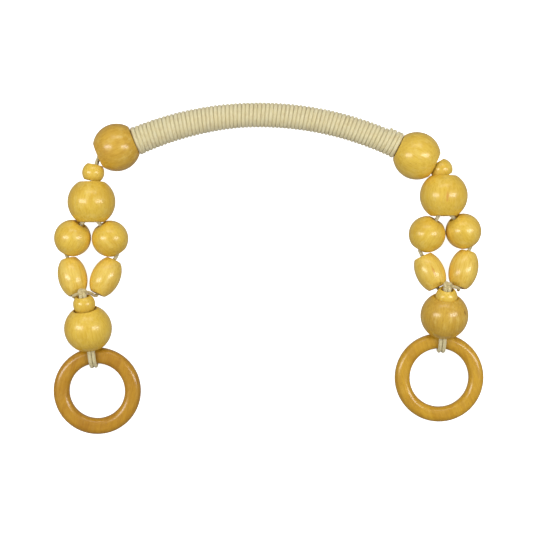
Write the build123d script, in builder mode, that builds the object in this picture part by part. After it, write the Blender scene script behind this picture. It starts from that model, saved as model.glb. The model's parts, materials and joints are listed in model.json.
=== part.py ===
from build123d import *
import os
from math import acos, atan2, cos, radians, sin, sqrt, tan

# Beaded bag handle: a cord-wound arched grip with a string of wooden beads and a
# wooden ring hanging from each end. It lies flat: X runs along the grip, +Y points
# from the rings to the crown of the grip, and Z = 0 is the surface it lies on.

# ---- driving dimensions, millimetres and degrees ----
plan_centre = (1.073, -1.322)  # middle of the outline, moved to the origin

cord_d = 2.0  # waxed cotton cord, used for the string and for the winding
strand_gap = 0.1  # between two strands that lie side by side

big_d = 24.9  # end beads and big beads
big_length = 21.0
big_bore = 5.8
cup_r = 6.1  # hollow turned into both mouths of a big bead
round_length = 17.4
oval_d = 15.2
oval_height = 23.0  # height of the whole ellipse that the oval is cut from
single_bore = 3.2  # round and oval beads hold one strand
small_d = 11.6
small_length = 8.6
small_bore = 5.6
small_mouth_r = 3.3
mouth_r = 3.0  # eased mouths of the round and oval beads
knot_d = 6.0
rim_round = 0.4

grip_radius = 167.0  # centreline of the arch
grip_half_sweep = 24.3
grip_lean = -1.5  # the left end of the arch stands a little higher
grip_centre = (-4.1, -88.0)
core_d = 9.0
core_bore = 5.4
core_tip = 2.4  # how far the core reaches into each end bead's mouth
winding_d = 13.1
winding_swell = 1.9  # the winding covers a tucked cord end near the left end
end_gap = 0.25  # between the winding and the end beads

ring_thickness = 7.6
ring_corner = 3.2
loop_play = 0.4  # between the string loop and the ring's stock

cord_z = big_d / 2  # height of the string where the big beads rest on the table

# Where each bead of a leg lies: centre (x, y, z) and the direction of its bore as
# (tilt from +Y towards +X, rise from the table), pointing up the string.
left_leg = {
    "name": "left",
    "side": -1,
    "grip_flat": 9.8,
    "top_small_bead": ((-90.3, 48.9, cord_z), (12, 0)),
    "knee_reach": 10.3,
    "shoulder_drop": 8.4,
    "upper_big_bead": ((-91.2, 33.7, cord_z), (0, 0)),
    "inner_round_bead": ((-81.8, 14.55, 9.8), (-32, 12)),
    "outer_round_bead": ((-101.4, 14.9, 9.8), (31, 12)),
    "inner_round_d": 19.1,
    "outer_round_d": 19.3,
    "inner_oval_length": 19.6,
    "outer_oval_length": 19.6,
    "inner_oval_bead": ((-84.2, -5.45, 8.9), (25, -9)),
    "outer_oval_bead": ((-101.5, -5.35, 8.9), (-14, -9)),
    "inner_tail": (1.7, (-3.6, 2.6, 2.1)),
    "outer_tail": (1.7, (-2.7, 0.9, 5.3)),
    "low_small_bead": 13.3,
    "lower_big_bead": ((-93.0, -32.3, cord_z), (-7, 16)),
    "ring_d": 45.8,
    "ring_stock": 8.4,
    "ring_reach": 14.6,
}
right_leg = {
    "name": "right",
    "side": 1,
    "grip_flat": 10.5,
    "top_small_bead": ((91.15, 50.55, cord_z), (-31, 0)),
    "knee_reach": 12.4,
    "shoulder_drop": 10.1,
    "upper_big_bead": ((92.35, 36.9, cord_z), (0, 0)),
    "inner_round_bead": ((83.9, 16.85, 10.4), (31, 12)),
    "outer_round_bead": ((102.95, 18.45, 9.5), (-35, 12)),
    "inner_round_d": 19.2,
    "outer_round_d": 18.7,
    "inner_oval_length": 18.0,
    "outer_oval_length": 19.6,
    "inner_oval_bead": ((85.6, -2.8, 8.9), (-25, -6)),
    "outer_oval_bead": ((103.1, -1.55, 8.7), (15, -7)),
    "inner_tail": (1.5, (4.9, 3.3, 3.6)),
    "outer_tail": (1.8, (0.0, 1.7, 5.4)),
    "low_small_bead": 10.5,
    "lower_big_bead": ((92.7, -25.6, cord_z), (3.5, 22)),
    "ring_d": 46.6,
    "ring_stock": 7.9,
    "ring_reach": 13.5,
}


# ---- placing ----
def at(x, y, z):
    """A point of the layout, moved so that the outline is centred on the origin."""
    return Vector(x - plan_centre[0], y - plan_centre[1], z)


def heading(tilt, rise):
    """Unit vector tilted from +Y towards +X and raised from the table."""
    flat = cos(radians(rise))
    return Vector(sin(radians(tilt)) * flat, cos(radians(tilt)) * flat, sin(radians(rise)))


def seat(centre, along):
    """Plane at a bead's centre with its z axis along the bore."""
    return Plane(origin=centre, x_dir=Vector(0, 0, 1).cross(along), z_dir=along)


def bead_seat(leg, name):
    place, direction = leg[name]
    return seat(at(*place), heading(*direction))


def grip_angle(side):
    """Angle of a grip end about the arch's centre, from +X."""
    return 90 + grip_lean - side * grip_half_sweep


def grip_end(side):
    """Centre of the grip's end face."""
    angle = radians(grip_angle(side))
    x = grip_centre[0] + grip_radius * cos(angle)
    y = grip_centre[1] + grip_radius * sin(angle)
    return at(x, y, cord_z)


def grip_exit(side):
    """Direction in which the string leaves the grip's end."""
    angle = radians(grip_angle(side))
    return Vector(sin(angle), -cos(angle), 0) * side


# ---- turned pieces ----
def turned_bead(label, place, width, height, lower, upper, bore, cup=0.0):
    """A drilled bead turned about its bore, cut flat at both mouths."""
    section = Plane(origin=place.origin, x_dir=place.x_dir, z_dir=-place.y_dir)
    with BuildPart() as bead:
        with BuildSketch(section) as half:
            Ellipse(width / 2, height / 2)
            with Locations((bore / 2, (upper - lower) / 2)):
                Rectangle(
                    width,
                    upper + lower,
                    align=(Align.MIN, Align.CENTER),
                    mode=Mode.INTERSECT,
                )
            rims = half.vertices().filter_by_position(Axis.X, bore / 2 + 0.1, width / 2 - 0.1)
            fillet(rims, rim_round)
        revolve(axis=Axis(place.origin, place.z_dir))
        if cup:
            with Locations(place.offset(upper), place.offset(-lower)):
                Sphere(cup, mode=Mode.SUBTRACT)
    bead.part.label = label
    export_step(bead.part, f"parts/{label}.step")


def big_bead(label, place, upper=big_length / 2):
    turned_bead(label, place, big_d, big_d, big_length / 2, upper, big_bore, cup_r)


def small_bead(label, place):
    half = small_length / 2
    turned_bead(label, place, small_d, small_d, half, half, small_bore, small_mouth_r)


def single_bead(label, place, width, height, length):
    turned_bead(label, place, width, height, length / 2, length / 2, single_bore, mouth_r)


# ---- string ----
def bend_radii(points):
    """Tangent arcs as large as the two runs at each corner allow."""
    radii = []
    for before, corner, after in zip(points, points[1:], points[2:]):
        arriving = corner - before
        leaving = after - corner
        turn = radians(arriving.get_angle(leaving))
        radii.append(0.45 * min(arriving.length, leaving.length) / tan(turn / 2))
    return radii


def string_piece(label, routes):
    """Lengths of cord, one solid for each route."""
    with BuildPart() as strands:
        for points in routes:
            with BuildLine() as run:
                if len(points) == 2:
                    Line(*points)
                else:
                    FilletPolyline(*points, radius=bend_radii(points))
            with BuildSketch(Plane(origin=points[0], z_dir=points[1] - points[0])):
                Circle(cord_d / 2)
            sweep(path=run.wires()[0])
    strands.part.label = label
    export_step(strands.part, f"parts/{label}.step")


def side_by_side(points, offset):
    """Two routes, one on each side of a centreline."""
    return [[point + offset for point in points], [point - offset for point in points]]


def tangent_point(point, centre, radius, outward, bend):
    """Where a taut string from the point first touches the circle in the leg's plane."""
    reach = point - centre
    u = reach.dot(outward)
    z = reach.Z
    opening = acos(radius / sqrt(u * u + z * z))
    angle = atan2(z, u) - bend * opening
    return centre + outward * (radius * cos(angle)) + Vector(0, 0, radius * sin(angle))


strand_offset = (cord_d + strand_gap) / 2
stacked = Vector(0, 0, strand_offset)

os.makedirs("parts", exist_ok=True)

# ---- grip: hollow core, cord winding and the string through it ----
left_end = grip_end(-1)
right_end = grip_end(1)
arch_centre = at(*grip_centre, cord_z)
crown = arch_centre + Vector(0, grip_radius, 0)

with BuildPart() as grip_core:
    with BuildLine() as arch:
        Line(left_end + grip_exit(-1) * core_tip, left_end)
        ThreePointArc(left_end, crown, right_end)
        Line(right_end, right_end + grip_exit(1) * core_tip)
    with BuildSketch(Plane(origin=arch.line @ 0, z_dir=arch.line % 0)):
        Circle(core_d / 2)
        Circle(core_bore / 2, mode=Mode.SUBTRACT)
    sweep(path=arch.wires()[0])
grip_core.part.label = "grip_core"
export_step(grip_core.part, "parts/grip_core.step")

with BuildPart() as grip_string:
    for side in (-1, 1):
        level = stacked * side
        with BuildLine() as run:
            Line(left_end + grip_exit(-1) * core_tip + level, left_end + level)
            ThreePointArc(left_end + level, crown + level, right_end + level)
            Line(right_end + level, right_end + grip_exit(1) * core_tip + level)
        with BuildSketch(Plane(origin=run.line @ 0, z_dir=run.line % 0)):
            Circle(cord_d / 2)
        sweep(path=run.wires()[0])
grip_string.part.label = "grip_string"
export_step(grip_string.part, "parts/grip_string.step")

with BuildPart() as grip_winding:
    stations = [-1.0, -0.85, -0.7, -0.5, -0.25, 0.0, 0.25, 0.5, 0.75, 1.0]
    for station in stations:
        angle = radians(grip_angle(station))
        swell = winding_swell * max(0.0, -station - 0.2) / 0.8
        outward = Vector(cos(angle), sin(angle), 0)
        middle = arch_centre + outward * (grip_radius - swell / 2)
        with BuildSketch(Plane(origin=middle, x_dir=outward, z_dir=(sin(angle), -cos(angle), 0))):
            Circle((winding_d + swell) / 2)
    loft()
    with BuildLine() as arch_line:
        ThreePointArc(left_end, crown, right_end)
    with BuildSketch(Plane(origin=arch_line.line @ 0, z_dir=arch_line.line % 0)):
        Circle(core_d / 2 + 0.02)
    sweep(path=arch_line.wires()[0], mode=Mode.SUBTRACT)
grip_winding.part.label = "grip_winding"
export_step(grip_winding.part, "parts/grip_winding.step")


# ---- one leg: beads, string and ring ----
def build_leg(leg):
    name = leg["name"]
    side = leg["side"]

    # end bead, threaded on the string as it leaves the grip
    exit_way = grip_exit(side)
    end_centre = grip_end(side) + exit_way * (leg["grip_flat"] + end_gap)
    end_seat = seat(end_centre, -exit_way)
    big_bead(f"{name}_end_bead", end_seat, leg["grip_flat"])
    knee = end_centre + exit_way * leg["knee_reach"]
    core_mouth = grip_end(side) + exit_way * (core_tip + 0.05)
    bend_start = knee - exit_way * 4
    neck_run = [core_mouth, bend_start - exit_way * 0.05]
    string_piece(f"{name}_neck_cords", side_by_side(neck_run, stacked))

    # small bead and big bead on both strands
    top_small = bead_seat(leg, "top_small_bead")
    upper_big = bead_seat(leg, "upper_big_bead")
    small_bead(f"{name}_top_small_bead", top_small)
    big_bead(f"{name}_upper_big_bead", upper_big)
    big_mouth = upper_big.origin + upper_big.z_dir * leg["shoulder_drop"]
    halfway = (knee + big_mouth) / 2
    shoulder = [bend_start, knee, halfway]
    string_piece(f"{name}_shoulder_cords", side_by_side(shoulder, stacked))
    through = [halfway, big_mouth, upper_big.origin + upper_big.z_dir * 0.1]
    string_piece(f"{name}_upper_cords", side_by_side(through, stacked))

    # the strands part: each one carries a round bead and an oval bead
    across = Vector(1, 0, 0)
    tails = []
    bridges = []
    for lane, way in (("inner", -side), ("outer", side)):
        round_seat = bead_seat(leg, f"{lane}_round_bead")
        oval_seat = bead_seat(leg, f"{lane}_oval_bead")
        width = leg[f"{lane}_round_d"]
        single_bead(f"{name}_{lane}_round_bead", round_seat, width, width, round_length)
        length = leg[f"{lane}_oval_length"]
        single_bead(f"{name}_{lane}_oval_bead", oval_seat, oval_d, oval_height, length)
        start = upper_big.origin + across * (way * strand_offset)
        turn = start - upper_big.z_dir * (big_length / 2 - 2.7)
        entry = round_seat.origin + round_seat.z_dir * (round_length / 2)
        leave = round_seat.origin - round_seat.z_dir * (round_length / 2)
        string_piece(f"{name}_{lane}_strand_upper", [[start, turn, entry, leave]])
        oval_top = oval_seat.origin + oval_seat.z_dir * (length / 2)
        oval_foot = oval_seat.origin - oval_seat.z_dir * (length / 2)
        strand_end = oval_foot + oval_seat.z_dir * 1.6
        string_piece(f"{name}_{lane}_strand_lower", [[oval_top, strand_end]])
        out_of_round = leave - round_seat.z_dir * 2.0
        into_oval = oval_top + oval_seat.z_dir * 1.0
        bridges.append([leave, out_of_round, into_oval, oval_top])
        drop, lift = leg[f"{lane}_tail"]
        turn = oval_foot - oval_seat.z_dir * drop
        tails.append([strand_end - oval_seat.z_dir * 0.05, turn, turn + Vector(*lift)])
    string_piece(f"{name}_elbow_cords", bridges)

    # the strands meet in a knot above the lower small bead
    lower_big = bead_seat(leg, "lower_big_bead")
    way_up = lower_big.z_dir
    low_small = seat(lower_big.origin + way_up * leg["low_small_bead"], way_up)
    big_bead(f"{name}_lower_big_bead", lower_big)
    small_bead(f"{name}_low_small_bead", low_small)
    knot_centre = low_small.origin + way_up * (small_length / 2 + 2.2)
    with BuildPart() as knot:
        with Locations(knot_centre):
            Sphere(knot_d / 2)
    knot.part.label = f"{name}_knot"
    export_step(knot.part, f"parts/{name}_knot.step")
    knot_tails = []
    for foot, turn, over_lip in tails:
        arriving = (over_lip - knot_centre).normalized()
        knot_tails.append([foot, turn, over_lip, knot_centre + arriving * (knot_d / 2 + 0.15)])
    string_piece(f"{name}_knot_tails", knot_tails)

    # four strands run through the small and the big bead to the ring
    sideways = way_up.cross(Vector(0, 0, 1)).normalized()
    upward = sideways.cross(way_up)
    pair = sideways * strand_offset
    top = knot_centre - way_up * (knot_d / 2 + 0.05)
    neck = lower_big.origin - way_up * 5
    fork = lower_big.origin - way_up * 8.5
    four = []
    for level in (upward * strand_offset, upward * -strand_offset):
        four += side_by_side([top + level, neck + way_up * 0.05 + level], pair)
    string_piece(f"{name}_lower_cords", four)

    # ring, held by two turns of the string
    stock = leg["ring_stock"]
    loop_r = stock / 2 + loop_play + cord_d / 2
    outward = Vector(-way_up.X, -way_up.Y, 0).normalized()
    loop_centre = lower_big.origin + outward * leg["ring_reach"]
    loop_centre.Z = loop_r + cord_d / 2 + 0.05
    mean_r = (leg["ring_d"] - stock) / 2
    dip = (loop_centre.Z - ring_thickness / 2 - 0.1) / (2 * mean_r)
    ring_way = outward * sqrt(1 - dip * dip) - Vector(0, 0, dip)
    ring_centre = loop_centre + ring_way * mean_r
    ring_axis = sideways.cross(ring_way).normalized()
    if ring_axis.Z < 0:
        ring_axis = -ring_axis
    ring_section = Plane(origin=ring_centre, x_dir=-ring_way, z_dir=ring_axis.cross(ring_way))
    with BuildPart() as ring:
        with BuildSketch(ring_section):
            with Locations((mean_r, 0)):
                RectangleRounded(stock, ring_thickness, ring_corner)
        revolve(axis=Axis(ring_centre, ring_axis))
    ring.part.label = f"{name}_ring"
    export_step(ring.part, f"parts/{name}_ring.step")

    # the loop: over the stock, round its inner side and back under it
    necks = []
    bights = []
    for offset in (pair, -pair):
        touches = []
        for bend in (1, -1):
            level = upward * (bend * strand_offset)
            touch = tangent_point(fork + level, loop_centre, loop_r, outward, bend)
            necks.append([neck + level + offset, fork + level + offset, touch + offset])
            touches.append(touch + offset)
        far = loop_centre + outward * loop_r + offset
        bights.append([touches[0], far, touches[1]])
    string_piece(f"{name}_loop_neck", necks)
    with BuildPart() as bight:
        for first, far, last in bights:
            with BuildLine() as bow:
                ThreePointArc(first, far, last)
            with BuildSketch(Plane(origin=bow.line @ 0, z_dir=bow.line % 0)):
                Circle(cord_d / 2)
            sweep(path=bow.wires()[0])
    bight.part.label = f"{name}_loop_bight"
    export_step(bight.part, f"parts/{name}_loop_bight.step")


build_leg(left_leg)
build_leg(right_leg)
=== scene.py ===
import json
import math
import random

import bpy
from mathutils import Matrix, Vector


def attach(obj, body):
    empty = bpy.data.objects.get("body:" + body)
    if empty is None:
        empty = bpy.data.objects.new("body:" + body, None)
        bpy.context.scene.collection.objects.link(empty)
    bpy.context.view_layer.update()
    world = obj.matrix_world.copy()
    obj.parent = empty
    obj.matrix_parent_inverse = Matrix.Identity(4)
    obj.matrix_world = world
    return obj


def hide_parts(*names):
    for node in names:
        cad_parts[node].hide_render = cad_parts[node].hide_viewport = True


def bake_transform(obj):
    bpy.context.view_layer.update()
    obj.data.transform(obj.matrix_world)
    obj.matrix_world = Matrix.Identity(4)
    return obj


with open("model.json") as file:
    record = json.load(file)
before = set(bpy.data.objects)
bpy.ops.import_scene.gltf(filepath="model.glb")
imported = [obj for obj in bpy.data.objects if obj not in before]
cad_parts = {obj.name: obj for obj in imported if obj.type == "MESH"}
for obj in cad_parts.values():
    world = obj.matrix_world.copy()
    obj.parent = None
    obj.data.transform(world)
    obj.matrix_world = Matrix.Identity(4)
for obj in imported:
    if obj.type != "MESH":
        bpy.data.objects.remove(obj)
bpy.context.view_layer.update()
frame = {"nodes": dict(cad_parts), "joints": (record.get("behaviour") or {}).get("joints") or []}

nodes = frame["nodes"]
joints = {j["name"]: j for j in frame["joints"]}
UP = Vector((0, 0, 1))
MM = 0.001
random.seed(11)

# ---- sizes that the pieces share, millimetres ----
CORD_R = 1.0
STRAND = 1.05  # half the spacing of two strands that lie side by side
ROUND_HALF = 8.7
ARCH_R = 167.0
ARCH_SWEEP = 24.3
ARCH_LEAN = -1.5
WINDING_D = 13.1
SWELL = 1.9
PITCH = 2.05
END_GAP = 0.25  # between the winding and the end beads
LEFT_FLAT = 9.8  # end bead's centre to the mouth that faces the winding
RIGHT_FLAT = 10.5
FORK = 8.5  # from the lower big bead's centre down to where the loop's strands part
TAIL_START = 1.6  # depth in the oval bead at which the knot's tail takes over

LEGS = {
    "left": {
        "side": -1, "drop": 8.4, "loop_r": 5.6, "inner_half": 9.8, "outer_half": 9.8,
        "inner_tail": (1.7, (-3.6, 2.6, 2.1)), "outer_tail": (1.7, (-2.7, 0.9, 5.3)),
    },
    "right": {
        "side": 1, "drop": 10.1, "loop_r": 5.35, "inner_half": 9.0, "outer_half": 9.8,
        "inner_tail": (1.5, (4.9, 3.3, 3.6)), "outer_tail": (1.8, (0.0, 1.7, 5.4)),
    },
}


def pos(joint):
    return Vector(joints[joint]["pos_m"])


def axis(joint):
    return Vector(joints[joint]["axis"]).normalized()


# ---- camera ----
scene = bpy.context.scene
cam_data = bpy.data.cameras.new("camera")
cam_data.sensor_width = 36.0
cam_data.lens = 18.0 / math.tan(math.radians(10.0))
camera = bpy.data.objects.new("camera", cam_data)
scene.collection.objects.link(camera)
camera.location = (-0.001073, 0.001322, 0.8)
cam_data.clip_start = 0.01
cam_data.clip_end = 20
scene.camera = camera


# ---- node helpers ----
def colour(r, g, b):
    """sRGB 0-255 to linear."""
    def lin(c):
        c /= 255
        return c / 12.92 if c <= 0.04045 else ((c + 0.055) / 1.055) ** 2.4
    return (lin(r), lin(g), lin(b), 1.0)


class Graph:
    def __init__(self, name):
        self.material = bpy.data.materials.new(name)
        self.material.use_nodes = True
        self.tree = self.material.node_tree
        self.tree.nodes.clear()
        self.out = self.tree.nodes.new("ShaderNodeOutputMaterial")
        self.bsdf = self.tree.nodes.new("ShaderNodeBsdfPrincipled")
        self.link(self.bsdf.outputs[0], self.out.inputs[0])

    def link(self, a, b):
        self.tree.links.new(a, b)

    def put(self, value, socket):
        if isinstance(value, bpy.types.NodeSocket):
            self.link(value, socket)
        elif value is not None:
            socket.default_value = value

    def node(self, kind, **settings):
        n = self.tree.nodes.new(kind)
        for k, v in settings.items():
            setattr(n, k, v)
        return n

    def math(self, op, a, b=None, c=None, clamp=False):
        n = self.node("ShaderNodeMath", operation=op, use_clamp=clamp)
        for s, v in zip(n.inputs, (a, b, c)):
            self.put(v, s)
        return n.outputs[0]

    def object_point(self, centre=None, turn=None):
        coord = self.node("ShaderNodeTexCoord")
        m = self.node("ShaderNodeMapping", vector_type="TEXTURE")
        self.link(coord.outputs["Object"], m.inputs["Vector"])
        if centre is not None:
            m.inputs["Location"].default_value = centre
        if turn is not None:
            m.inputs["Rotation"].default_value = turn
        return m.outputs[0]

    def scaled(self, vector, scale):
        n = self.node("ShaderNodeVectorMath", operation="MULTIPLY")
        self.link(vector, n.inputs[0])
        n.inputs[1].default_value = scale
        return n.outputs[0]

    def moved(self, vector, offset):
        n = self.node("ShaderNodeVectorMath", operation="ADD")
        self.link(vector, n.inputs[0])
        n.inputs[1].default_value = offset
        return n.outputs[0]

    def noise(self, vector, scale=1.0, detail=3.0, rough=0.55, distortion=0.0):
        n = self.node("ShaderNodeTexNoise")
        self.link(vector, n.inputs["Vector"])
        n.inputs["Scale"].default_value = scale
        n.inputs["Detail"].default_value = detail
        n.inputs["Roughness"].default_value = rough
        n.inputs["Distortion"].default_value = distortion
        return n.outputs[0]

    def ramp(self, value, stops, interpolation="EASE"):
        n = self.node("ShaderNodeValToRGB")
        n.color_ramp.interpolation = interpolation
        els = n.color_ramp.elements
        els[0].position, els[0].color = stops[0]
        els[1].position, els[1].color = stops[-1]
        for p, c in stops[1:-1]:
            e = els.new(p)
            e.color = c
        self.link(value, n.inputs[0])
        return n.outputs[0]

    def mix(self, factor, a, b, blend="MIX"):
        n = self.node("ShaderNodeMix", data_type="RGBA", blend_type=blend)
        self.put(factor, n.inputs[0])
        self.put(a, n.inputs[6])
        self.put(b, n.inputs[7])
        return n.outputs[2]

    def range(self, value, low, high, to_low=0.0, to_high=1.0):
        n = self.node("ShaderNodeMapRange", interpolation_type="SMOOTHSTEP")
        self.put(value, n.inputs[0])
        for i, v in enumerate((low, high, to_low, to_high)):
            n.inputs[i + 1].default_value = v
        return n.outputs[0]

    def bump(self, height, distance, strength=1.0, normal=None):
        n = self.node("ShaderNodeBump")
        self.link(height, n.inputs["Height"])
        n.inputs["Distance"].default_value = distance
        n.inputs["Strength"].default_value = strength
        if normal is not None:
            self.link(normal, n.inputs["Normal"])
        return n.outputs[0]

    def set(self, name, value):
        self.put(value, self.bsdf.inputs[name])


# ---- wood ----
def turned_wood(name, centre, along, tones, seed, ring_width=1.5, blush=0.25, marks=(), painted_highlight_strength=0.32):
    """Clear-lacquered light wood whose grain runs along the bore.

    tones is (pale, mid, deep) and the last argument sets how strong the pale mottling is, which is a
    painted highlight.
    """
    rng = random.Random(seed)
    g = Graph(name)
    turn = along.to_track_quat("Z", "Y").to_euler()
    turn.rotate_axis("Z", rng.uniform(0, 2 * math.pi))
    local = g.object_point(centre, turn)
    # growth rings about a pith line that runs along the bore, outside the bead
    warp = g.noise(g.moved(g.scaled(local, (120, 120, 34)), (seed * 3.1, 0, 0)), 1.0, 3.0)
    shifted = g.moved(local, (rng.uniform(0.012, 0.02), rng.uniform(-0.006, 0.006), 0))
    flat = g.node("ShaderNodeVectorMath", operation="LENGTH")
    g.link(g.scaled(shifted, (1, 1, 0.06)), flat.inputs[0])
    radius = g.math("MULTIPLY_ADD", warp, 0.0042, flat.outputs["Value"])
    phase = g.math("MULTIPLY", radius, 2 * math.pi / (ring_width * MM))
    ring = g.math("MULTIPLY_ADD", g.math("SINE", phase), 0.5, 0.5)
    ring = g.math("POWER", ring, 2.2)
    # long fibres and short pores
    fibre = g.noise(g.moved(g.scaled(local, (2600, 2600, 90)), (seed, 0, 0)), 1.0, 4.0, 0.62)
    streak = g.noise(g.moved(g.scaled(local, (520, 520, 30)), (0, seed, 0)), 1.0, 3.0, 0.6)
    pore = g.noise(g.moved(g.scaled(local, (3800, 3800, 420)), (0, 0, seed)), 1.0, 1.0)
    pore = g.range(pore, 0.66, 0.74)
    blotch = g.noise(g.moved(g.scaled(local, (95, 95, 60)), (seed, seed, 0)), 1.0, 2.0)
    pale, mid, deep = tones
    base = g.ramp(streak, [(0.32, mid), (0.5, pale), (0.68, mid)])
    base = g.mix(g.math("MULTIPLY", ring, 0.13), base, deep)
    base = g.mix(g.range(fibre, 0.42, 0.66, 0.0, 0.24), base, deep)
    base = g.mix(g.range(blotch, 0.45, 0.7, 0.0, blush), base, deep)
    # painted highlight: pale mottled patches mixed toward a light yellow stand in for glints on the
    # lacquer
    painted_highlight_noise = g.noise(g.moved(g.scaled(local, (260, 260, 150)), (0, seed, seed)), 1.0, 3.0, 0.6)
    base = g.mix(g.range(painted_highlight_noise, 0.5, 0.68, 0.0, painted_highlight_strength), base, colour(250, 232, 150))
    base = g.mix(g.math("MULTIPLY", pore, 0.28), base, colour(140, 84, 22))
    for place, length, width, tint, weight in marks:
        near = g.node("ShaderNodeVectorMath", operation="LENGTH")
        spot = g.object_point(centre + Vector(place), along.to_track_quat("Z", "Y").to_euler())
        wobble = g.noise(g.scaled(spot, (900, 900, 500)), 1.0, 3.0)
        g.link(g.scaled(spot, (1 / width / MM, 1 / width / MM, 1 / length / MM)), near.inputs[0])
        far = g.math("MULTIPLY_ADD", wobble, 0.9, near.outputs["Value"])
        base = g.mix(g.range(far, 1.5, 0.75, 0.0, weight), base, tint)
    g.set("Base Color", base)
    g.set("Roughness", g.range(fibre, 0.3, 0.7, 0.36, 0.5))
    g.set("Specular IOR Level", 0.42)
    g.set("Coat Weight", 0.85)
    g.set("Coat Roughness", 0.2)
    g.set("Coat IOR", 1.45)
    g.set("Coat Tint", (1.0, 0.9, 0.62, 1.0))
    height = g.math("MULTIPLY_ADD", fibre, 0.55, g.math("MULTIPLY", ring, 0.25))
    height = g.math("SUBTRACT", height, g.math("MULTIPLY", pore, 0.5))
    soft = g.noise(g.scaled(local, (210, 210, 170)), 1.0, 2.0)
    worn = g.bump(soft, 0.00045, 0.75)
    g.set("Normal", g.bump(height, 0.00006, 0.6, worn))
    return g.material


BEAD_TONES = (colour(240, 212, 98), colour(230, 199, 76), colour(204, 158, 42))
OVAL_TONES = (colour(242, 216, 114), colour(230, 200, 84), colour(206, 160, 50))
END_TONES = (colour(224, 188, 80), colour(212, 172, 62), colour(184, 132, 36))
RING_TONES = (colour(198, 152, 40), colour(186, 138, 26), colour(160, 106, 12))
RIGHT_RING_TONES = (colour(214, 172, 50), colour(202, 158, 34), colour(174, 124, 16))
RIGHT_LOWER_TONES = (colour(220, 186, 80), colour(208, 170, 60), colour(178, 126, 34))


# knots and resin streaks: (offset from the bead's centre, length, width, tint, weight)
MARKS = {
    ("right", "upper_big"): [((0.0005, -0.001, 0.0122), 3.6, 0.9, colour(206, 132, 34), 0.6)],
    ("right", "inner_oval"): [((0.001, 0.0005, 0.0074), 3.4, 0.7, colour(206, 134, 44), 0.6)],
    ("right", "lower_big"): [((0.0098, 0.0015, 0.0074), 2.2, 0.9, colour(128, 78, 22), 0.7)],
}


def finish_wood(node, joint, tones, seed, **extra):
    material = turned_wood(f"{node}_wood", pos(joint), axis(joint), tones, seed, **extra)
    obj = nodes[node]
    obj.data.materials.clear()
    obj.data.materials.append(material)


seed = 3
for leg in LEGS:
    for bead in (
        "end", "top_small", "upper_big", "inner_round", "outer_round",
        "inner_oval", "outer_oval", "low_small", "lower_big",
    ):
        seed += 1
        tones = BEAD_TONES
        if leg == "left" and bead == "end":
            tones = END_TONES
        if bead.endswith("oval"):
            tones = OVAL_TONES
        if leg == "right" and bead == "lower_big":
            tones = RIGHT_LOWER_TONES
        marks = MARKS.get((leg, bead), ())
        finish_wood(f"{leg}_{bead}_bead", f"spin_{leg}_{bead}", tones, seed, marks=marks)
    seed += 1
    ring_joint = f"{leg}_ring_turn"
    ring_tones = RING_TONES if leg == "left" else RIGHT_RING_TONES
    grain = Vector((0.25, 1, 0)).normalized() if leg == "left" else Vector((-0.35, 1, 0)).normalized()
    wood = turned_wood(f"{leg}_ring_wood", pos(ring_joint), grain, ring_tones, seed, 2.4, 0.35, (), 0.05)
    nodes[f"{leg}_ring"].data.materials.clear()
    nodes[f"{leg}_ring"].data.materials.append(wood)


# ---- cord material ----
def cotton(name, pale, mid, deep, waxed=0.0):
    """Twisted cotton. The UV map holds millimetres along the cord and turns around it."""
    g = Graph(name)
    uv = g.node("ShaderNodeUVMap", uv_map="cord")
    split = g.node("ShaderNodeSeparateXYZ")
    g.link(uv.outputs[0], split.inputs[0])
    along, around = split.outputs[0], split.outputs[1]
    # fine yarn lines that run at a slant round the cord
    slant = g.math("MULTIPLY_ADD", along, 0.55, around)
    yarn = g.math("SINE", g.math("MULTIPLY", slant, 2 * math.pi * 9))
    yarn = g.math("MULTIPLY_ADD", yarn, 0.5, 0.5)
    point = g.object_point()
    fuzz = g.noise(g.scaled(point, (5200, 5200, 5200)), 1.0, 4.0, 0.7)
    patch = g.noise(g.scaled(point, (420, 420, 420)), 1.0, 3.0)
    combine = g.node("ShaderNodeCombineXYZ")
    g.link(g.math("MULTIPLY", along, 0.12), combine.inputs[0])
    turn_tone = g.noise(combine.outputs[0], 1.0, 4.0, 0.7)
    base = g.ramp(fuzz, [(0.3, deep), (0.52, mid), (0.75, pale)])
    base = g.mix(g.range(turn_tone, 0.35, 0.68, 0.0, 0.45), base, pale)
    base = g.mix(g.range(patch, 0.5, 0.75, 0.0, 0.32), base, deep)
    # painted shade: the grooves between the yarn lines are darkened toward the deep tone
    base = g.mix(g.math("MULTIPLY", g.math("SUBTRACT", 1.0, yarn), 0.22), base, deep)
    g.set("Base Color", base)
    g.set("Roughness", g.range(fuzz, 0.3, 0.7, 0.62 - waxed * 0.2, 0.82 - waxed * 0.2))
    g.set("Sheen Weight", 0.25)
    g.set("Sheen Roughness", 0.5)
    g.set("Specular IOR Level", 0.3 + waxed * 0.15)
    height = g.math("MULTIPLY_ADD", yarn, 0.6, g.math("MULTIPLY", fuzz, 0.5))
    g.set("Normal", g.bump(height, 0.00012, 0.75))
    return g.material


winding_cotton = cotton(
    "winding_cotton", colour(252, 246, 214), colour(243, 232, 182), colour(206, 180, 118), 1.0
)
string_cotton = cotton(
    "string_cotton", colour(246, 238, 198), colour(234, 222, 172), colour(192, 172, 114), 0.4
)
# painted shade: the knot and its tails get a darker copy of the string's cotton, standing in for the
# shade they lie in among the beads
painted_shade_knot_cotton = cotton(
    "painted_shade_knot_cotton", colour(236, 220, 170), colour(220, 202, 146), colour(178, 154, 98)
)


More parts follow.
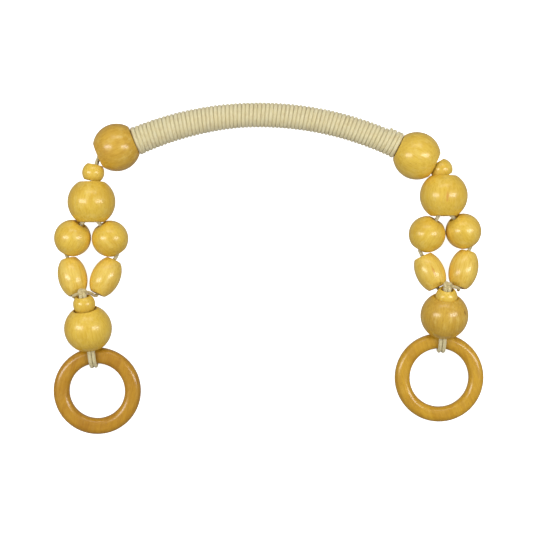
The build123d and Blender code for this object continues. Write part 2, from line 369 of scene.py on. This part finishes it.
# ---- cord meshes ----
def spline_points(points, steps=12, cyclic=False):
    """Points along the smooth NURBS line that has these points as its controls."""
    data = bpy.data.curves.new("route", "CURVE")
    data.dimensions = "3D"
    data.resolution_u = steps
    s = data.splines.new("NURBS")
    s.points.add(len(points) - 1)
    for p, q in zip(s.points, points):
        p.co = (*q, 1.0)
    s.order_u = 3
    s.use_endpoint_u = not cyclic
    s.use_cyclic_u = cyclic
    holder = bpy.data.objects.new("route", data)
    scene.collection.objects.link(holder)
    bpy.context.view_layer.update()
    mesh = bpy.data.meshes.new_from_object(holder)
    line = [v.co.copy() for v in mesh.vertices]
    bpy.data.objects.remove(holder)
    bpy.data.curves.remove(data)
    bpy.data.meshes.remove(mesh)
    return line


def even(line, step, closed=False):
    """The same line with points at an even spacing."""
    pts = line + [line[0]] if closed else line
    lengths = [0.0]
    for a, b in zip(pts, pts[1:]):
        lengths.append(lengths[-1] + (b - a).length)
    count = max(2, round(lengths[-1] / step))
    out = []
    k = 0
    for i in range(count if closed else count + 1):
        want = lengths[-1] * i / count
        while k < len(pts) - 2 and lengths[k + 1] < want:
            k += 1
        span = lengths[k + 1] - lengths[k]
        out.append(pts[k].lerp(pts[k + 1], (want - lengths[k]) / span if span else 0))
    return out


def tube(name, line, radius, material, plies=3, lobe=0.1, lay=7.0, sides=16, closed=False):
    """A twisted cord along a line: plies make lobes that turn once every lay millimetres."""
    verts, faces, uvs = [], [], []
    count = len(line)
    tangents = []
    for i in range(count):
        a = line[(i - 1) % count] if closed or i else line[0]
        b = line[(i + 1) % count] if closed or i < count - 1 else line[-1]
        tangents.append((b - a).normalized())
    normal = tangents[0].orthogonal().normalized()
    length = 0.0
    lengths = []
    for i in range(count):
        if i:
            length += (line[i] - line[i - 1]).length
            normal = tangents[i - 1].rotation_difference(tangents[i]) @ normal
            normal = (normal - tangents[i] * normal.dot(tangents[i])).normalized()
        lengths.append(length / MM)
        side = tangents[i].cross(normal)
        for k in range(sides):
            angle = 2 * math.pi * k / sides
            phase = plies * (angle - 2 * math.pi * lengths[i] / lay) / 2
            r = radius * (1 - lobe + lobe * abs(math.cos(phase)) * 1.2)
            verts.append(line[i] + (normal * math.cos(angle) + side * math.sin(angle)) * r)
    rows = count if closed else count - 1
    for i in range(rows):
        j = (i + 1) % count
        for k in range(sides):
            m = (k + 1) % sides
            faces.append((i * sides + k, i * sides + m, j * sides + m, j * sides + k))
            u0, u1 = lengths[i], lengths[i] + (line[j] - line[i]).length / MM
            v0, v1 = k / sides, (k + 1) / sides
            uvs += [(u0, v0), (u0, v1), (u1, v1), (u1, v0)]
    if not closed:
        faces.append(tuple(reversed(range(sides))))
        uvs += [(lengths[0], 0.5)] * sides
        last = (count - 1) * sides
        faces.append(tuple(range(last, last + sides)))
        uvs += [(lengths[-1], 0.5)] * sides
    mesh = bpy.data.meshes.new(name)
    mesh.from_pydata([tuple(v) for v in verts], [], faces)
    layer = mesh.uv_layers.new(name="cord")
    for loop, uv in zip(layer.data, uvs):
        loop.uv = uv
    mesh.shade_smooth()
    mesh.materials.append(material)
    obj = bpy.data.objects.new(name, mesh)
    scene.collection.objects.link(obj)
    return obj


def joined(name, objects):
    """One piece out of several."""
    with bpy.context.temp_override(
        active_object=objects[0], object=objects[0], selected_editable_objects=objects,
        selected_objects=objects,
    ):
        bpy.ops.object.join()
    objects[0].name = name
    objects[0].data.name = name
    return objects[0]


# ---- grip: one cord wound round the core ----
end_l, end_r = pos("left_shoulder_roll"), pos("right_shoulder_roll")
exit_l, exit_r = -axis("spin_left_end"), -axis("spin_right_end")
face_l = end_l - exit_l * (LEFT_FLAT + END_GAP) * MM
face_r = end_r - exit_r * (RIGHT_FLAT + END_GAP) * MM
a_l = math.radians(90 + ARCH_LEAN + ARCH_SWEEP)
a_r = math.radians(90 + ARCH_LEAN - ARCH_SWEEP)
arch_centre = face_l - Vector((math.cos(a_l), math.sin(a_l), 0)) * ARCH_R * MM


def winding_line():
    arc = ARCH_R * (a_l - a_r)
    turns = int(arc / PITCH) + 1
    per_turn = 26
    inset = (CORD_R + 0.05) / arc
    line = []
    steps = turns * per_turn
    for i in range(steps + 1):
        # the first and last turns lie flat against the end beads
        part = (i - per_turn) / (steps - 2 * per_turn)
        s = inset + (1 - 2 * inset) * min(1.0, max(0.0, part))
        angle = a_l + (a_r - a_l) * s
        station = 2 * s - 1
        swell = SWELL * max(0.0, -station - 0.2) / 0.8
        raised = 1.0 if i > (turns - 4.2) * per_turn else 0.0
        out = Vector((math.cos(angle), math.sin(angle), 0))
        # small unevenness from turn to turn, as hand winding leaves
        turn = i / per_turn
        slack = 0.05 * math.sin(turn * 2.7) * math.sin(turn * 0.61 + 1)
        radius = (WINDING_D + swell) / 2 - CORD_R + slack * 0.5
        way = 2 * math.pi * i / per_turn
        middle = arch_centre + out * (ARCH_R - swell / 2) * MM
        middle += out * raised * max(0.0, math.sin(way)) * MM
        along = Vector((-math.sin(angle), math.cos(angle), 0))
        lean = along * 0.03 * math.sin(turn * 1.9) * MM
        line.append(middle + lean + (out * math.sin(way) + UP * math.cos(way)) * radius * MM)
    return line


winding = tube(
    "grip_cord_winding", winding_line(), 1.05 * CORD_R * MM, winding_cotton, plies=3, lobe=0.04,
    lay=6.0, sides=12,
)
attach(winding, "grip")
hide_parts("grip_winding")

through = []
for level in (1, -1):
    lift = UP * level * STRAND * MM
    count = 24
    line = [face_l + exit_l * 2.4 * MM + lift]
    for i in range(count + 1):
        angle = a_l + (a_r - a_l) * i / count
        line.append(arch_centre + Vector((math.cos(angle), math.sin(angle), 0)) * ARCH_R * MM + lift)
    line.append(face_r + exit_r * 2.4 * MM + lift)
    through.append(tube(f"through_{level}", even(line, 0.6 * MM), CORD_R * MM, string_cotton, sides=12))
grip_string = joined("grip_through_string", through)
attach(grip_string, "grip")
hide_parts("grip_string")


# ---- the string of each leg ----
def knot_mesh(name, centre, size, lie, material):
    """An overhand knot pulled small: a trefoil of cord."""
    line = []
    count = 96
    for i in range(count):
        t = 2 * math.pi * i / count
        p = Vector((
            math.sin(t) + 2 * math.sin(2 * t),
            math.cos(t) - 2 * math.cos(2 * t),
            -1.25 * math.sin(3 * t),
        ))
        line.append(centre + lie @ (p * size))
    return tube(name, even(line, 0.35 * MM, True), 0.95 * MM, material, sides=14, closed=True, lay=6.0)


def touch_angle(start, outward, radius, bend):
    """Angle at which a straight run from start meets the loop, from outward towards up."""
    x, z = start.dot(outward), start.z
    return math.atan2(z, x) + bend * math.acos(radius / math.hypot(x, z))


def build_string(leg, facts):
    side = facts["side"]
    exit_way = -axis(f"spin_{leg}_end")
    end = pos(f"{leg}_shoulder_roll")
    knee = pos(f"{leg}_shoulder_swing")
    upper = pos(f"spin_{leg}_upper_big")
    mouth = upper + axis(f"spin_{leg}_upper_big") * facts["drop"] * MM
    # neck, shoulder and the run into the upper big bead
    cords = []
    for level in (1, -1):
        lift = UP * level * STRAND * MM
        route = [
            end - exit_way * 7.4 * MM, end, knee - exit_way * 4 * MM, knee,
            mouth, upper + axis(f"spin_{leg}_upper_big") * 0.1 * MM,
        ]
        line = even(spline_points([p + lift for p in route]), 0.4 * MM)
        cords.append(tube(f"{leg}_s{level}", line, CORD_R * MM, string_cotton))
    shoulder = joined(f"{leg}_shoulder_string", cords)
    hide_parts(f"{leg}_neck_cords", f"{leg}_shoulder_cords", f"{leg}_upper_cords")
    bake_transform(shoulder)

    # one strand on each side through a round and an oval bead
    knot = pos(f"{leg}_wrist_fold")
    tail_pieces = []
    for lane, way in (("inner", -side), ("outer", side)):
        r_pos, r_way = pos(f"spin_{leg}_{lane}_round"), axis(f"spin_{leg}_{lane}_round")
        o_pos, o_way = pos(f"spin_{leg}_{lane}_oval"), axis(f"spin_{leg}_{lane}_oval")
        start = upper + Vector((way * STRAND * MM, 0, 0))
        half = facts[f"{lane}_half"]
        foot = o_pos - o_way * half * MM
        route = [
            start, start - Vector((0, 7.8 * MM, 0)), r_pos + r_way * ROUND_HALF * MM,
            r_pos, r_pos - r_way * ROUND_HALF * MM, o_pos + o_way * half * MM,
            o_pos, foot + o_way * TAIL_START * MM,
        ]
        strand = tube(
            f"{leg}_{lane}_string", even(spline_points(route), 0.4 * MM), CORD_R * MM, string_cotton
        )
        replaced = [f"{leg}_{lane}_strand_upper", f"{leg}_{lane}_strand_lower"]
        if lane == "outer":
            replaced.append(f"{leg}_elbow_cords")
        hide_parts(*replaced)
        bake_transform(strand)
        drop, lift = facts[f"{lane}_tail"]
        turn = foot - o_way * drop * MM
        lip = turn + Vector(lift) * MM
        landing = knot + (lip - knot).normalized() * 1.4 * MM
        tail = tube(
            f"{leg}_{lane}_tail",
            even(spline_points([foot + o_way * TAIL_START * MM, foot, turn, lip, landing]), 0.3 * MM),
            0.85 * CORD_R * MM, painted_shade_knot_cotton,
        )
        tail_pieces.append((tail, foot, landing))
    tails = joined(f"{leg}_knot_strings", [t for t, _, _ in tail_pieces])
    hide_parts(f"{leg}_knot_tails")
    level = (tail_pieces[0][1] + tail_pieces[1][1]) / 2
    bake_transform(tails)

    # the knot, and four strands from it through two beads
    big = pos(f"spin_{leg}_lower_big")
    way_up = axis(f"spin_{leg}_lower_big")
    sideways = way_up.cross(UP).normalized()
    upward = sideways.cross(way_up)
    lie = Matrix((sideways, way_up, upward)).transposed()
    knot_piece = knot_mesh(f"{leg}_overhand_knot", knot, 0.54 * MM, lie, painted_shade_knot_cotton)
    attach(knot_piece, f"{leg}_lower")
    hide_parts(f"{leg}_knot")

    loop = pos(f"{leg}_ring_swing")
    outward = Vector((-way_up.x, -way_up.y, 0)).normalized()
    radius = facts["loop_r"] * MM
    turns = []
    for way in (1, -1):
        offset = sideways * way * STRAND * MM
        over = upward * STRAND * MM
        fork = big - way_up * FORK * MM
        route = [knot - way_up * 1.0 * MM + over, big + over, fork + over]
        first = touch_angle(fork + over - loop, outward, radius, -1)
        last = touch_angle(fork - over - loop, outward, radius, 1) - 2 * math.pi
        steps = 12
        control_r = radius / math.cos((first - last) / steps / 2)
        for k in range(steps + 1):
            angle = first + (last - first) * k / steps
            route.append(loop + (outward * math.cos(angle) + UP * math.sin(angle)) * control_r)
        route += [fork - over, big - over, knot - way_up * 1.0 * MM - over]
        line = even(spline_points([p + offset for p in route]), 0.4 * MM)
        turns.append(tube(f"{leg}_turn{way}", line, CORD_R * MM, string_cotton))
    loops = joined(f"{leg}_ring_loop_string", turns)
    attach(loops, f"{leg}_lower")
    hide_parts(f"{leg}_lower_cords", f"{leg}_loop_neck", f"{leg}_loop_bight")


for leg, facts in LEGS.items():
    build_string(leg, facts)

# bare wood core, seen only at its ends inside the end beads
core = turned_wood(
    "grip_core_wood", Vector((0, 0, 0.0123)), Vector((1, 0, 0)),
    (colour(226, 205, 160), colour(214, 190, 140), colour(186, 156, 100)), 77, 1.1, 0.1,
)
nodes["grip_core"].data.materials.clear()
nodes["grip_core"].data.materials.append(core)


# ---- floor and light ----
def plain(name, rgb, rough=0.9, glow=0.0):
    g = Graph(name)
    g.set("Base Color", rgb)
    g.set("Roughness", rough)
    g.set("Specular IOR Level", 0.0)
    if glow:
        g.set("Emission Color", (1, 1, 1, 1))
        g.set("Emission Strength", glow)
    return g.material


floor_mesh = bpy.data.meshes.new("floor")
half = 3.0
floor_mesh.from_pydata(
    [(-half, -half, 0), (half, -half, 0), (half, half, 0), (-half, half, 0)], [], [(0, 1, 2, 3)]
)
floor = bpy.data.objects.new("floor", floor_mesh)
scene.collection.objects.link(floor)
floor.location.z = -0.00005
floor_mesh.materials.append(plain("floor_white", (0.9, 0.9, 0.9, 1), 1.0, 0.95))
floor.visible_diffuse = False
floor.visible_glossy = False

world = bpy.data.worlds.new("studio")
world.use_nodes = True
world.node_tree.nodes["Background"].inputs[0].default_value = (1, 1, 1, 1)
world.node_tree.nodes["Background"].inputs[1].default_value = 0.30
scene.world = world


def area(name, place, size, power, look=(0, 0, 0.01)):
    data = bpy.data.lights.new(name, "AREA")
    data.shape = "RECTANGLE"
    data.size, data.size_y = size
    data.energy = power
    lamp = bpy.data.objects.new(name, data)
    scene.collection.objects.link(lamp)
    lamp.location = place
    lamp.rotation_mode = "QUATERNION"
    lamp.rotation_quaternion = (Vector(look) - Vector(place)).to_track_quat("-Z", "Y")


area("light_left", (-0.62, 0.05, 0.75), (0.22, 0.6), 4.0)
area("light_right", (0.62, 0.05, 0.75), (0.22, 0.6), 4.0)
area("light_top", (0, 0.9, 0.8), (1.0, 0.3), 2.6)

scene.view_settings.view_transform = "Standard"
scene.view_settings.look = "None"
